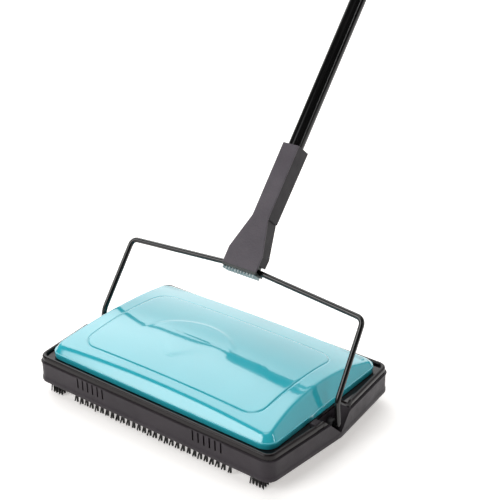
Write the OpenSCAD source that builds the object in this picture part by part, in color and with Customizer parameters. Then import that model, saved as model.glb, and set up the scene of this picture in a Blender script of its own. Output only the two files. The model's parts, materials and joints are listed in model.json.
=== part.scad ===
// Push carpet sweeper, stored with its handle leaning back.
// Origin: on the floor under the centre of the head. +Z up, -Y front; +X is the right-hand side
// as seen from the front, and so are the left and right in the names. All lengths are in millimetres.

/* [Head] */
// Width of the head across its front corners
body_w = 267.6; // [262:0.1:272]
// Width of the head across the pointed middles of its sides
body_apex_w = 285; // [281:0.5:290]
// Depth of the head, front to back
body_d = 181; // [179:0.5:186]
// Height of the skirt wall's lower edge above the floor
wall_bottom = 11.7; // [11:0.1:12.2]
// Height of the skirt wall's upper edge above the floor
wall_top = 32.4; // [32.4:0.1:33]
// Thickness of the skirt wall
wall_t = 2.6; // [2:0.1:3]
// Plan radius of the head's four corners
corner_r = 10; // [6:0.5:14]
// Number of vent slots in each of the two groups
slot_count = 6; // [3:1:7]

/* [Deck and cover] */
// Thickness of the deck plate
deck_t = 2.6; // [2.2:0.1:3]
// Height of the rounded bead above the deck plate
bead_h = 2.9; // [2:0.1:3.5]
// Width of the cover
cover_w = 255.2; // [250:0.2:258]
// Depth of the cover
cover_d = 164.4; // [160:0.2:168]
// Height of the crown of the cover above the floor
cover_top = 58.5; // [57:0.5:64]
// Wall thickness of the cover
cover_t = 3; // [2.4:0.1:3.4]
// Radius of the cover's front-to-back crown
crown_r = 310; // [280:5:400]

/* [Brushes and wheels] */
// Radius of the main brush over its bristles
brush_r = 22; // [20:0.5:22]
// Radius of the friction pulley on the main brush
pulley_r = 14; // [12:0.5:14]
// Radius of a wheel over its tyre
wheel_r = 15; // [14.5:0.5:15]
// Width of a tyre
tyre_w = 8; // [6:0.5:8]
// Pitch of the tufts in the front and rear edge brushes
tuft_pitch = 6.4; // [5:0.2:8]

/* [Bail and handle] */
// Diameter of the bail wire
wire_d = 5; // [4.6:0.1:5.4]
// Height of the bail's pivot above the floor
pivot_z = 22; // [21.5:0.1:22.5]
// Lean of the handle from upright
handle_lean = 40; // [30:1:50]
// Diameter of the handle tubes
tube_d = 15; // [13:0.1:15]
// Wall of the handle tubes
tube_t = 0.5; // [0.5:0.1:1]
// Handle length from the bail's crossbar to the end of the grip
handle_len = 1014; // [900:1:1100]
// Length of the grip
grip_len = 130; // [100:1:150]
// Diameter of the grip
grip_d = 24; // [22:0.5:30]

/* [Hidden] */

$fn = 48;
eps = 0.02;
gap = 0.05;              // running clearance of shafts, on the radius

// Plan of the head: a flat hexagon with four rounded corners.
side_k = (body_apex_w - body_w) / body_d;
side_a = atan(side_k);
floor_t = 2.5;           // end floors of the housing
floor_top = wall_bottom + floor_t;
inner_d = body_d / 2 - wall_t;
deck_top = wall_top + deck_t;
bead_top = deck_top + bead_h;
slot_size = [1.6, 10.5];
slot_first_x = 83;       // outermost slot of a group
slot_pitch = 6.1;

// Side pockets for the bail.
pocket_x = 129;
pocket_half = 21;
pocket_web = 3;
notch_low = pivot_z - 5.5;
boss_x = 134.8;
bush_r = 4.8;

// End mechanisms. Every x below is a distance from the middle plane.
tower_x = 100;
tower_t = 3;
brush_z = brush_r + 0.3;
shaft_r = 3;
shaft_half = 118;
pulley_x = 108;
core_half = 95;
core_r = 7;
wheel_gap = 0.3;         // tyre to pulley
wheel_y = sqrt(pow(wheel_r + pulley_r + wheel_gap, 2) - pow(brush_z - wheel_r, 2));
axle_r = 2;
lug_r = 5;
lug_t = 3;
lug_in_x = 101;
lug_out_x = 119;
rim_r = wheel_r - 3;
hub_r = 4;
web_in = 2.5;            // depth of the ring recesses in wheel and pulley faces
well = [104.2, 118.8, 46];   // inner x, outer x, half length of the opening for the wheels

// Dust pans.
pan_half = 96;
pan_out_y = 80;
pan_in_y = 20;
pan_low = 7;
pan_high = 24;
pan_t = 2;
hinge_y = 76;
hinge_z = 12;
pin_r = 2;
pan_lug_x = 98;
ear_x = 103.6;
ear_t = 2.4;
ear_len = 10;
ear_slot = [5.2, 20];    // opening in the end floor that the ears swing in
hinge_boss_r = 4.4;

// Release link and tab.
link_x = 104.3;
link_t = 1.5;
link_z = 29.8;
link_leg_z = 15;
arm_y = 50;
arm_w = 3.4;
tab_x = [131, 136.8];
tab_y = [-31, -23];
tab_top = 38.6;

// Corner and edge brushes.
corner_brush = [14, 18];
corner_brush_at = [117, 77.5];
flange = 1.2;
tuft_r = 1.1;
edge_half = 95.5;
post_at = [112, 58];
post_r = 4;

// Bail and handle. A is the middle of the crossbar.
pivot_x = 139;
knee = [136.5, 1.4, 23.1];   // from the pivot line
shoulder = [133.5, 43.3, 83.7];
knee_bend = 6;           // length taken off each side of a corner by its bend
shoulder_bend = 7;
apex_bend = 2;
foot_more = 2.2;         // the legs run this far past the pivot line
bail_end = 1.5;          // the pivot ends run this far past their bushes
apex = [0, 50, 91];
tube_y = 0.3;            // tubes stand this far behind the crossbar's middle
tube_r = tube_d / 2;
tube_foot = 44;
joint_1 = 315;
joint_2 = 619;
collar_t = 3;
plug_half = 26;
cap_h = 8;
grip_seat = 10;
grip_t = 2.2;
button_r = 2.8;
button_out = 1.3;        // the button stands this far out of the tube
button_foot = 3.4;       // its inner end, ahead of the tube's middle
socket_low = -3.2;
socket_knee = 49.5;
socket_top = 121;
socket_narrow = 8.8;
socket_wide = 19.2;
plate_y = [-9, -7.3];    // front shell, front and back
rear_y = [5.6, 9.6, 11]; // back of the rear shell at its foot, knee and top
rear_wall = 2.2;
rear_low = 4;            // lower end of the rear shell
socket_screw_at = [9, 24];
screw_post_r = 3;
screw_r = 1.4;

function side_x(y, t) = body_apex_w / 2 - side_k * abs(y) - t / cos(side_a);

// ---------- shared shapes ----------

// Plan outline of the head, set in by t.
module plan(t = 0) {
    r = max(corner_r - t, 1.5);
    cy = body_d / 2 - t;
    c = [side_x(cy - r, t + r), cy - r];
    e = c + r * [cos(side_a), sin(side_a)];
    a = side_x(0, t);
    polygon([[a, 0], e, [c.x, cy], [-c.x, cy], [-e.x, e.y], [-a, 0],
        [-e.x, -e.y], [-c.x, -cy], [c.x, -cy], [e.x, -e.y]]);
    for (sx = [-1, 1], sy = [-1, 1]) translate([sx * c.x, sy * c.y]) circle(r);
}

module plan_ring(t1, t2) {
    difference() { plan(t1); plan(t2); }
}

// Rounded rectangle centred on the origin.
module plate_2d(w, d, r) {
    square([w - 2 * r, d], center = true);
    square([w, d - 2 * r], center = true);
    for (sx = [-1, 1], sy = [-1, 1]) translate([sx * (w / 2 - r), sy * (d / 2 - r)]) circle(r);
}

// Extrudes a shape drawn in (y, z) along x.
module along_x(x0, x1) {
    translate([x0, 0, 0]) rotate([90, 0, 90]) linear_extrude(x1 - x0) children();
}

// Cylinder along x.
module bar_x(x0, x1, r) {
    translate([x0, 0, 0]) rotate([0, 90, 0]) cylinder(r = r, h = x1 - x0);
}

module box(lo, hi) {
    translate(lo) cube(hi - lo);
}

// Round rod between two points.
module rod(a, b, r) {
    v = b - a;
    translate(a) rotate([0, acos(v.z / norm(v)), atan2(v.y, v.x)]) cylinder(r = r, h = norm(v));
}

module both_x() {
    children();
    mirror([1, 0, 0]) children();
}

module both_y() {
    children();
    mirror([0, 1, 0]) children();
}

// Handle frame: origin at the middle of the crossbar, +z up the handle, -y its front.
module on_handle() {
    translate([apex.x, apex.y, pivot_z + apex.z]) rotate([-handle_lean, 0, 0]) children();
}

// V-shaped space the bail swings in.
module notch() {
    h = 26;
    along_x(pocket_x, body_apex_w / 2 + 1)
        polygon([[0, notch_low], [h, notch_low + h], [-h, notch_low + h]]);
}

// ---------- housing ----------

module base_housing() color([0.17, 0.165, 0.175]) {
    difference() {
        union() {
            translate([0, 0, wall_bottom]) linear_extrude(wall_top - wall_bottom) plan_ring(0, wall_t);
            both_x() {
                end_floor();
                pivot_pocket();
                bearings();
            }
        }
        both_x() {
            notch();
            translate([0, 0, pivot_z]) bar_x(pocket_x - pocket_web - 1, boss_x + 1, bush_r);
            translate([0, 0, brush_z]) bar_x(tower_x - 1, tower_x + tower_t + 1, bush_r);
            both_y() {
                translate([0, wheel_y, wheel_r]) bar_x(lug_in_x - 1, lug_out_x + lug_t + 1, axle_r);
                translate([0, hinge_y, hinge_z]) bar_x(pan_lug_x - 1, lug_in_x + 1, pin_r + gap);
            }
        }
        slots();
    }
}

module end_floor() {
    translate([0, 0, wall_bottom]) linear_extrude(floor_t) difference() {
        intersection() {
            plan(wall_t / 2);
            translate([pan_lug_x, -body_d]) square([body_d, 2 * body_d]);
        }
        translate([well[0], -well[2]]) square([well[1] - well[0], 2 * well[2]]);
        both_y() {
            translate([lug_in_x + 0.4, 61]) square(ear_slot);
            translate(corner_brush_at) square(corner_brush + [0.4, 0.4], center = true);
            translate(post_at) circle(1.7);
        }
    }
}

// Block behind the skirt wall whose top is the V-shaped pocket, with the boss for the bail's end.
module pivot_pocket() {
    translate([0, 0, floor_top - eps]) linear_extrude(wall_top - floor_top + eps) intersection() {
        plan(wall_t / 2);
        translate([pocket_x - pocket_web, -pocket_half]) square([40, 2 * pocket_half]);
    }
}

module bearings() {
    box([tower_x, -11, wall_bottom], [tower_x + tower_t, 11, wall_top - 1]);
    both_y() {
        for (x = [lug_in_x, lug_out_x]) {
            box([x, wheel_y - lug_r, wall_bottom], [x + lug_t, wheel_y + lug_r, wheel_r]);
            translate([0, wheel_y, wheel_r]) bar_x(x, x + lug_t, lug_r);
        }
        translate([0, hinge_y, hinge_z]) bar_x(pan_lug_x, lug_in_x, hinge_boss_r);
    }
}

module slots() {
    for (s = [-1, 1], i = [0:slot_count - 1])
        translate([s * (slot_first_x - i * slot_pitch), -body_d / 2 + wall_t / 2,
            wall_top - 0.9 - slot_size[1] / 2])
            cube([slot_size[0], wall_t + 2, slot_size[1]], center = true);
}

// Plain bushes the two ends of the bail turn in.
module bail_bushes() color([0.1, 0.1, 0.1]) both_x()
    translate([0, 0, pivot_z]) difference() {
        bar_x(pocket_x - pocket_web, boss_x, bush_r);
        bar_x(pocket_x - pocket_web - 1, boss_x + 1, wire_d / 2 + gap);
    }

module brush_bushes() color([0.75, 0.75, 0.72]) both_x()
    translate([0, 0, brush_z]) difference() {
        bar_x(tower_x - 0.4, tower_x + tower_t + 0.4, bush_r);
        bar_x(tower_x - 1, tower_x + tower_t + 1, shaft_r + gap);
    }

module wheel_axles() color([0.6, 0.6, 0.62]) both_x() both_y()
    translate([0, wheel_y, wheel_r]) bar_x(lug_in_x, lug_out_x + lug_t, axle_r);

module top_deck() color([0.06, 0.055, 0.06]) difference() {
    union() {
        translate([0, 0, wall_top]) linear_extrude(deck_t) difference() {
            plan(0.8);
            plate_2d(2 * shaft_half + 2, 2 * brush_r + 4, 4);
            both_x() both_y() translate(post_at) circle(post_r);
        }
        translate([0, 0, deck_top - eps]) linear_extrude(bead_h * 0.75) plan_ring(0.8, 4.6);
        translate([0, 0, deck_top]) linear_extrude(bead_h) plan_ring(1.6, 3.8);
    }
    both_x() notch();
    box([tab_x[0] - 0.4, tab_y[0] - 0.4, wall_top - 1], [tab_x[1] + 0.4, tab_y[1] + 0.4, bead_top + 1]);
}

// ---------- cover ----------

cover_skirt_top = 41;
ledge = 0.8;
bevel_k = 1.39;          // rise over run of the bevelled border
crown_y = -4.2;

// Half section of the cover: upright skirt, small ledge, then the bevel. half is its half width.
module cover_side(half, t) {
    top = 70;
    z1 = cover_skirt_top;
    x1 = half - ledge - t;
    x2 = half - ledge - (top - z1 + t * sqrt(1 + bevel_k * bevel_k)) / bevel_k;
    zb = z1 - t * (sqrt(1 + bevel_k * bevel_k) - bevel_k);
    polygon([[half - t, 0], [half - t, zb], [x1, zb], [x2, top], [-x2, top], [-x1, zb],
        [-half + t, zb], [-half + t, 0]]);
}

// Outer form of the cover set in by t, from z = 0 up.
module cover_form(t) intersection() {
    linear_extrude(80) plate_2d(cover_w - 2 * t, cover_d - 2 * t, 13 - t);
    along_x(-cover_w, cover_w) intersection() {
        cover_side(cover_d / 2, t);
        translate([crown_y, cover_top - crown_r]) circle(crown_r - t, $fn = 180);
    }
    rotate([90, 0, 0]) linear_extrude(cover_d * 2, center = true) cover_side(cover_w / 2, t);
}

// The inlaid line around the top panel.
module panel_ring() translate([0, -7]) difference() {
    plate_2d(204, 118, 16);
    plate_2d(201.6, 115.6, 14.8);
}

module cover_posts(r, z0, z1) both_x() both_y()
    translate([post_at.x, post_at.y, z0]) cylinder(r = r, h = z1 - z0);

module top_cover() color([0.3, 0.78, 0.83]) difference() {
    union() {
        difference() {
            intersection() {
                cover_form(0);
                box([-cover_w, -cover_d, deck_top], [cover_w, cover_d, 80]);
            }
            difference() {
                cover_form(cover_t);
                cover_posts(post_r, 20, 75);
            }
        }
        cover_posts(post_r - 0.5, floor_top, deck_top + 4);
    }
    difference() {
        translate([0, 0, 45]) linear_extrude(30) panel_ring();
        cover_form(0.5);
    }
    cover_posts(1.55, 0, 30);
}

module cover_screws() color([0.6, 0.6, 0.62]) both_x() both_y()
    translate([post_at.x, post_at.y, 0]) {
        translate([0, 0, wall_bottom - 2]) cylinder(r = 3.2, h = 2);
        translate([0, 0, wall_bottom - eps]) cylinder(r = 1.5, h = 16);
    }

// ---------- fixed brushes ----------

module edge_brush() {
    box([-edge_half - 2, -inner_d, wall_bottom - 0.7], [edge_half + 2, -inner_d + 3, wall_bottom + 3.6]);
    n = floor(edge_half / tuft_pitch);
    for (i = [-n:n]) translate([i * tuft_pitch, -inner_d + 1.7, 2])
        cylinder(r = tuft_r, h = wall_bottom - 2, $fn = 8);
}

module front_edge_brush() color([0.05, 0.05, 0.05]) edge_brush();
module rear_edge_brush() color([0.05, 0.05, 0.05]) mirror([0, 1, 0]) edge_brush();

module corner_brush(sx, sy) translate([sx * corner_brush_at.x, sy * corner_brush_at.y, 0]) {
    cols = 4;
    rows = 5;
    pitch = 3.3;
    translate([0, 0, (wall_bottom + floor_top) / 2 + 0.3])
        cube([corner_brush.x, corner_brush.y, floor_t + 0.4], center = true);
    translate([0, 0, floor_top + 1.1])
        cube([corner_brush.x + 2 * flange, corner_brush.y + 2 * flange, 2.2], center = true);
    for (i = [0:cols - 1], j = [0:rows - 1])
        translate([(i - (cols - 1) / 2) * pitch, (j - (rows - 1) / 2) * pitch, 0])
            cylinder(r = tuft_r, h = floor_top, $fn = 8);
}

module corner_brush_front_left() color([0.05, 0.05, 0.05]) corner_brush(-1, -1);
module corner_brush_front_right() color([0.05, 0.05, 0.05]) corner_brush(1, -1);
module corner_brush_rear_left() color([0.05, 0.05, 0.05]) corner_brush(-1, 1);
module corner_brush_rear_right() color([0.05, 0.05, 0.05]) corner_brush(1, 1);

// ---------- main brush ----------

module brush_shaft() color([0.6, 0.6, 0.62])
    translate([0, 0, brush_z]) bar_x(-shaft_half, shaft_half, shaft_r);

module brush_core() color([0.1, 0.1, 0.1]) translate([0, 0, brush_z]) difference() {
    union() {
        bar_x(-core_half, core_half, core_r);
        for (s = [-1, 1]) translate([s * (core_half - 1.5), 0, 0]) bar_x(-1.5, 1.5, 10);
    }
    bar_x(-core_half - 1, core_half + 1, shaft_r);
}

// Tufts in five rows that wind around the core.
module brush_bristles() color([0.05, 0.05, 0.05]) translate([0, 0, brush_z]) {
    rows = 5;
    count = 18;
    span = 87;
    winding = 150;
    for (r = [0:rows - 1], i = [0:count - 1])
        translate([-span + 2 * span * i / (count - 1), 0, 0])
            rotate([r * 360 / rows + winding * i / (count - 1), 0, 0])
                translate([0, 0, core_r + 0.05]) cylinder(r = 1.5, h = brush_r - core_r - 0.05, $fn = 6);
}

module brush_pulleys() color([0.15, 0.15, 0.15]) both_x() translate([0, 0, brush_z]) difference() {
    bar_x(pulley_x, pulley_x + tyre_w, pulley_r);
    bar_x(pulley_x - 1, pulley_x + tyre_w + 1, shaft_r);
    for (side = [pulley_x - eps, pulley_x + tyre_w - web_in + eps]) difference() {
        bar_x(side, side + web_in, pulley_r - 2);
        bar_x(side - 1, side + web_in + 1, shaft_r + 2);
    }
}

// ---------- wheels ----------

module wheel(sx, sy) translate([0, sy * wheel_y, wheel_r]) mirror([sx < 0 ? 1 : 0, 0, 0]) difference() {
    union() {
        bar_x(pulley_x, pulley_x + tyre_w, rim_r);
        bar_x(lug_in_x + lug_t + 0.4, lug_out_x - 0.4, hub_r);
    }
    bar_x(lug_in_x, lug_out_x + lug_t, axle_r + gap);
    for (side = [pulley_x - eps, pulley_x + tyre_w - web_in + eps]) difference() {
        bar_x(side, side + web_in, rim_r - 2);
        bar_x(side - 1, side + web_in + 1, hub_r);
    }
}

module tyre(sx, sy) translate([0, sy * wheel_y, wheel_r]) mirror([sx < 0 ? 1 : 0, 0, 0]) difference() {
    bar_x(pulley_x, pulley_x + tyre_w, wheel_r);
    bar_x(pulley_x - 1, pulley_x + tyre_w + 1, rim_r);
}

module wheel_front_left() color([0.2, 0.2, 0.2]) wheel(-1, -1);
module wheel_front_right() color([0.2, 0.2, 0.2]) wheel(1, -1);
module wheel_rear_left() color([0.2, 0.2, 0.2]) wheel(-1, 1);
module wheel_rear_right() color([0.2, 0.2, 0.2]) wheel(1, 1);
module tyre_front_left() color([0.08, 0.08, 0.08]) tyre(-1, -1);
module tyre_front_right() color([0.08, 0.08, 0.08]) tyre(1, -1);
module tyre_rear_left() color([0.08, 0.08, 0.08]) tyre(-1, 1);
module tyre_rear_right() color([0.08, 0.08, 0.08]) tyre(1, 1);

// ---------- dust pans ----------

// Front pan: open on top and towards the brush, with a low ramp there and a hinge pin each side.
module pan() {
    lip = [[-pan_in_y, pan_low], [-pan_in_y, pan_low + 1.4], [-26, 13], [-27.2, 12.4], [-24, pan_low]];
    difference() {
        along_x(-pan_half, pan_half)
            polygon([[-pan_out_y, pan_low], [-23, pan_low], [-23, pan_low + pan_t], [-28, pan_high],
                [-pan_out_y, pan_high]]);
        along_x(-pan_half + pan_t, pan_half - pan_t)
            polygon([[-pan_out_y + pan_t, pan_low + pan_t], [-20, pan_low + pan_t], [-20, 40],
                [-pan_out_y + pan_t, 40]]);
    }
    along_x(-pan_half, pan_half) polygon(lip);
    translate([0, -hinge_y, hinge_z]) {
        bar_x(-lug_in_x, -pan_half + 1, pin_r);
        bar_x(pan_half - 1, ear_x + 1, pin_r);
        bar_x(ear_x, ear_x + ear_t, pin_r + 1);
        box([ear_x, 0, -2], [ear_x + ear_t, ear_len + 1, 2]);
    }
}

module front_pan() color([0.14, 0.14, 0.15]) pan();
module rear_pan() color([0.14, 0.14, 0.15]) mirror([0, 1, 0]) pan();

module pan_springs() color([0.6, 0.6, 0.62]) both_x() both_y()
    for (i = [0:1]) translate([pan_half + 0.7 + i * 0.55, hinge_y, hinge_z]) rotate([0, 90, 0])
        rotate_extrude($fn = 32) translate([3.2, 0]) circle(0.35, $fn = 16);

// ---------- dust pan release ----------

module release_link() color([0.6, 0.6, 0.62]) along_x(link_x, link_x + link_t) {
    y = hinge_y - ear_len + 1;
    translate([-y - 1.5, link_z]) square([2 * y + 3, 2.4]);
    for (s = [-1, 1]) translate([s * y - 1.5, link_leg_z]) square([3, link_z - link_leg_z + 1]);
}

module release_tab() color([0.2, 0.195, 0.205]) {
    x0 = link_x + link_t;
    z0 = link_z;
    z1 = link_z + 2.4;
    box([x0, -arm_y - 2, z0], [tab_x[0] + arm_w, -arm_y + 2, z1]);
    box([tab_x[0], -arm_y - 2, z0], [tab_x[0] + arm_w, tab_y[1], z1]);
    box([tab_x[0], tab_y[0], z0], [tab_x[1], tab_y[1], tab_top]);
}

// ---------- bail ----------

function unit(v) = v / norm(v);
function flip(p) = [-p.x, p.y, p.z];

// Points round a bend at p between a and b, starting and ending len away from p.
function bend_points(a, p, b, len, n) = let (s = p - len * unit(p - a), e = p + len * unit(b - p))
    [for (i = [0:n]) let (t = i / n) (1 - t) * (1 - t) * s + 2 * t * (1 - t) * p + t * t * e];

// The bail from the foot of its right leg to the foot of its left leg, measured from the pivot line.
bar_dir = unit(apex - shoulder);
foot = [pivot_x, 0, 0] - foot_more * unit(knee - [pivot_x, 0, 0]);
half_bail = concat([foot], bend_points(foot, knee, shoulder, knee_bend, 4),
    bend_points(knee, shoulder, apex, shoulder_bend, 6));
bail_path = concat(half_bail, bend_points(shoulder, apex, flip(shoulder), apex_bend, 2),
    [for (i = [len(half_bail) - 1:-1:0]) flip(half_bail[i])]);

// Round wire along a path that stays near one plane, whose normal is given.
module sweep(path, r, normal, sides = 16) {
    n = len(path);
    turn = 360 / sides;
    points = [for (i = [0:n - 1])
        let (t = unit(path[min(i + 1, n - 1)] - path[max(i - 1, 0)]), u = unit(cross(t, normal)))
        for (j = [0:sides - 1]) path[i] + r * (cos(turn * j) * u + sin(turn * j) * cross(t, u))];
    walls = [for (i = [0:n - 2], j = [0:sides - 1]) let (k = (j + 1) % sides)
        [i * sides + j, (i + 1) * sides + j, (i + 1) * sides + k, i * sides + k]];
    first_end = [for (j = [0:sides - 1]) j];
    last_end = [for (j = [sides - 1:-1:0]) (n - 1) * sides + j];
    polyhedron(points, concat([first_end, last_end], walls));
}

module bail_wire() color([0.04, 0.04, 0.04]) translate([0, 0, pivot_z]) {
    sweep(bail_path, wire_d / 2, unit(cross(shoulder - knee, [1, 0, 0])));
    both_x() bar_x(pocket_x - pocket_web - bail_end, pivot_x + 0.5, wire_d / 2);
}

// ---------- socket ----------

// Front outline of the socket. The flared lower part alone is set in by t; cut is its lower end.
module socket_outline(t, cut) {
    n = socket_narrow;
    k = t > 0 ? n - t : n;
    w = socket_wide - t;
    half = [[n, socket_top], [n, socket_knee - 2.5], [k, socket_knee - 2.5], [w, 12.5], [w, cut]];
    polygon(concat(half, [for (i = [len(half) - 1:-1:0]) [-half[i].x, half[i].y]]));
}

module across_y(y0, y1) {
    translate([0, y1, 0]) rotate([90, 0, 0]) linear_extrude(y1 - y0) children();
}

module socket_screw_spots() {
    for (s = [-1, 1]) translate([s * socket_screw_at.x, 0, socket_screw_at.y]) rotate([-90, 0, 0]) children();
}

module socket_front() color([0.3, 0.295, 0.31]) on_handle() {
    across_y(plate_y[0], plate_y[1]) socket_outline(0, socket_low);
    difference() {
        socket_screw_spots() translate([0, 0, plate_y[1] - eps]) cylinder(r = screw_post_r, h = 10);
        socket_screw_spots() translate([0, 0, plate_y[1] + 1]) cylinder(r = screw_r + gap, h = 12);
    }
}

// Channel round the tube, deeper up the handle; its flared foot is hollow and open below.
module socket_rear() color([0.27, 0.265, 0.28]) on_handle() {
    knee_z = socket_knee - 2.5;
    front = plate_y[1] - 1;
    room = rear_y[0] - rear_wall;
    difference() {
        intersection() {
            across_y(plate_y[1], rear_y[2] + 1) socket_outline(1.1, rear_low);
            along_x(-30, 30) polygon([[front, rear_low], [rear_y[0], rear_low], [rear_y[1], knee_z],
                [rear_y[2], socket_top], [front, socket_top]]);
        }
        intersection() {
            across_y(front, rear_y[2] + 1)
                polygon([[6, 45], [16, 12], [16, -5], [-16, -5], [-16, 12], [-6, 45]]);
            along_x(-30, 30) polygon([[-20, -6], [room, -6], [room + 3.6, knee_z - 1], [-20, knee_z - 1]]);
        }
        translate([0, tube_y, tube_foot - 8]) cylinder(r = tube_r + 0.03, h = 100);
        socket_screw_spots() cylinder(r = screw_r + 0.2, h = 20);
    }
}

module socket_screws() color([0.6, 0.6, 0.62]) on_handle() socket_screw_spots() {
    translate([0, 0, -4]) cylinder(r = screw_r, h = 12.2);
    translate([0, 0, 8.1]) cylinder(r = 2.7, h = 1.8);
}

// Saddle that holds the crossbar in the foot of the socket; its underside is ribbed.
module wire_clamp() color([0.55, 0.56, 0.57]) difference() {
    on_handle() {
        box([-15.5, plate_y[1], -5.2], [15.5, 3.4, 3.9]);
        box([-socket_wide, plate_y[0] + 0.4, -5.4], [socket_wide, 5, socket_low]);
        for (i = [-5:5]) translate([i * 3.4, -2, -6.6]) cube([1.2, 12, 3.2], center = true);
    }
    both_x() translate([0, 0, pivot_z])
        rod(apex + 6 * bar_dir, apex - 30 * bar_dir, wire_d / 2 + gap);
}

// ---------- tubes ----------

module tube(z0, z1) translate([0, tube_y, z0]) difference() {
    cylinder(r = tube_r, h = z1 - z0);
    translate([0, 0, -1]) cylinder(r = tube_r - tube_t, h = z1 - z0 + 2);
}

module lower_tube() color([0.05, 0.05, 0.05]) on_handle() tube(tube_foot, joint_1 - collar_t / 2);

module middle_tube() color([0.05, 0.05, 0.05]) on_handle() difference() {
    tube(joint_1 + collar_t / 2, joint_2 - collar_t / 2);
    button_hole();
}

module upper_tube() color([0.05, 0.05, 0.05]) on_handle()
    tube(joint_2 + collar_t / 2, handle_len - cap_h);

button_z = joint_1 + 13;

module button_hole() translate([0, tube_y, button_z]) rotate([90, 0, 0]) cylinder(r = button_r + gap, h = 20);

module coupler(z) translate([0, tube_y, z]) difference() {
    union() {
        translate([0, 0, -plug_half]) cylinder(r = tube_r - tube_t - 0.03, h = 2 * plug_half);
        translate([0, 0, -collar_t / 2]) cylinder(r = tube_r + 0.4, h = collar_t);
    }
    translate([0, 0, -plug_half - 1]) cylinder(r = 4.6, h = 2 * plug_half + 2);
}

module lower_coupler() color([0.12, 0.12, 0.12]) on_handle() difference() {
    coupler(joint_1);
    button_hole();
}

module upper_coupler() color([0.12, 0.12, 0.12]) on_handle() coupler(joint_2);

module snap_button() color([0.7, 0.7, 0.7]) on_handle()
    translate([0, tube_y - button_foot, button_z]) rotate([90, 0, 0])
        cylinder(r = button_r, h = tube_r + button_out - button_foot);

module snap_spring() color([0.7, 0.7, 0.7]) on_handle()
    translate([-2, tube_y - button_foot, button_z - 4]) cube([4, 0.5, 16]);

// Hollow sleeve that sits on the tube at both of its ends.
module grip() color([0.07, 0.07, 0.07]) on_handle() translate([0, tube_y, handle_len - grip_len]) {
    len = grip_len - cap_h;
    difference() {
        cylinder(r = grip_d / 2, h = len);
        translate([0, 0, -1]) cylinder(r = tube_r + 0.03, h = grip_len);
        translate([0, 0, grip_seat]) cylinder(r = grip_d / 2 - grip_t, h = len - 2 * grip_seat);
    }
}

module grip_cap() color([0.07, 0.07, 0.07]) on_handle() translate([0, tube_y, handle_len - cap_h]) {
    r = grip_d / 2;
    edge = 5;
    plug = 6;
    rotate_extrude() intersection() {
        union() {
            square([r, cap_h - edge]);
            square([r - edge, cap_h]);
            translate([r - edge, cap_h - edge]) circle(edge);
        }
        square([r, cap_h]);
    }
    translate([0, 0, -plug]) cylinder(r = tube_r - tube_t - 0.1, h = plug + eps);
}

base_housing();
top_deck();
top_cover();
front_edge_brush();
rear_edge_brush();
corner_brush_front_left();
corner_brush_front_right();
corner_brush_rear_left();
corner_brush_rear_right();
brush_bushes();
bail_bushes();
wheel_axles();
cover_screws();
pan_springs();
brush_shaft();
brush_core();
brush_bristles();
brush_pulleys();
wheel_front_left();
tyre_front_left();
wheel_front_right();
tyre_front_right();
wheel_rear_left();
tyre_rear_left();
wheel_rear_right();
tyre_rear_right();
front_pan();
rear_pan();
release_link();
release_tab();
bail_wire();
socket_front();
socket_rear();
wire_clamp();
socket_screws();
lower_tube();
middle_tube();
upper_tube();
lower_coupler();
upper_coupler();
snap_button();
snap_spring();
grip();
grip_cap();
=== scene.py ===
import json
import math
import random

import bmesh
import bpy
from mathutils import Matrix, Vector


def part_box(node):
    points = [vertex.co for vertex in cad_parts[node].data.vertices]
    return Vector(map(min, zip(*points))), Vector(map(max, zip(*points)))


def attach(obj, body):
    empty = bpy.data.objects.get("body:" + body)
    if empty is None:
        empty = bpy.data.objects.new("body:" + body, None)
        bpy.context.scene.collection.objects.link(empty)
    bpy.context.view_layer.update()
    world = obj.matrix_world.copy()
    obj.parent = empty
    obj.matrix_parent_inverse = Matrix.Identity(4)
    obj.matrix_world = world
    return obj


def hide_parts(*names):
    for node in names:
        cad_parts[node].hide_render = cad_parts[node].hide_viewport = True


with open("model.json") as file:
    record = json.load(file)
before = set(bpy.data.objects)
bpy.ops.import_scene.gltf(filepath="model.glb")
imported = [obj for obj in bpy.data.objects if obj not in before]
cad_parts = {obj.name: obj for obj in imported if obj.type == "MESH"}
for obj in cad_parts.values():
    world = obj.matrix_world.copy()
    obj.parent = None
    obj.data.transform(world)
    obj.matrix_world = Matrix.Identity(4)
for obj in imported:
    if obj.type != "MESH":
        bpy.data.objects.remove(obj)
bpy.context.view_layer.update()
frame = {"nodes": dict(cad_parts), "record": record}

MM = 0.001
BODY_OF = {n: b for b, nodes in frame["record"]["behaviour"]["bodies"].items() for n in nodes}
rng = random.Random(7)

# ---------------------------------------------------------------- sizes, most of them shared with the CAD
BODY_W, BODY_APEX_W, BODY_D = 267.6, 285.0, 181.0
CORNER_R = 10.0
WALL_BOTTOM, DECK_TOP = 11.7, 35.0
SIDE_K = (BODY_APEX_W - BODY_W) / BODY_D
SIDE_A = math.atan(SIDE_K)
PIVOT_Z = 22.0
NOTCH_X, NOTCH_LOW, NOTCH_RISE = 129.0, 16.5, 26.0
TAB_X, TAB_Y = (131.0, 136.8), (-31.0, -23.0)
COVER_HALF = (127.6, 82.2)
COVER_R = 13.0
COVER_TOP, CROWN_R, CROWN_Y = 58.5, 310.0, -4.2
SKIRT_TOP, LEDGE, BEVEL_K = 41.0, 0.8, 1.39
PANEL_HALF, PANEL_R, PANEL_Y = (101.4, 58.4), 15.4, -7.0
ARCH_AT, ARCH_R, ARCH_MIDDLE, ARCH_HALF_ANGLE = (-16, -42), 56, 1.62, 0.82
SLOT_FIRST, SLOT_PITCH, SLOT_COUNT, SLOT_W = 83.0, 6.1, 6, 1.6
COVER_SCREW = (112.0, 58.0)
EDGE_TUFT_PITCH, EDGE_TUFTS_EACH_SIDE = 6.4, 14
CORNER_BRUSH = (117.0, 77.5)
CORNER_ROWS, CORNER_PITCH = (5, 6), (2.9, 3.1)
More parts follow.
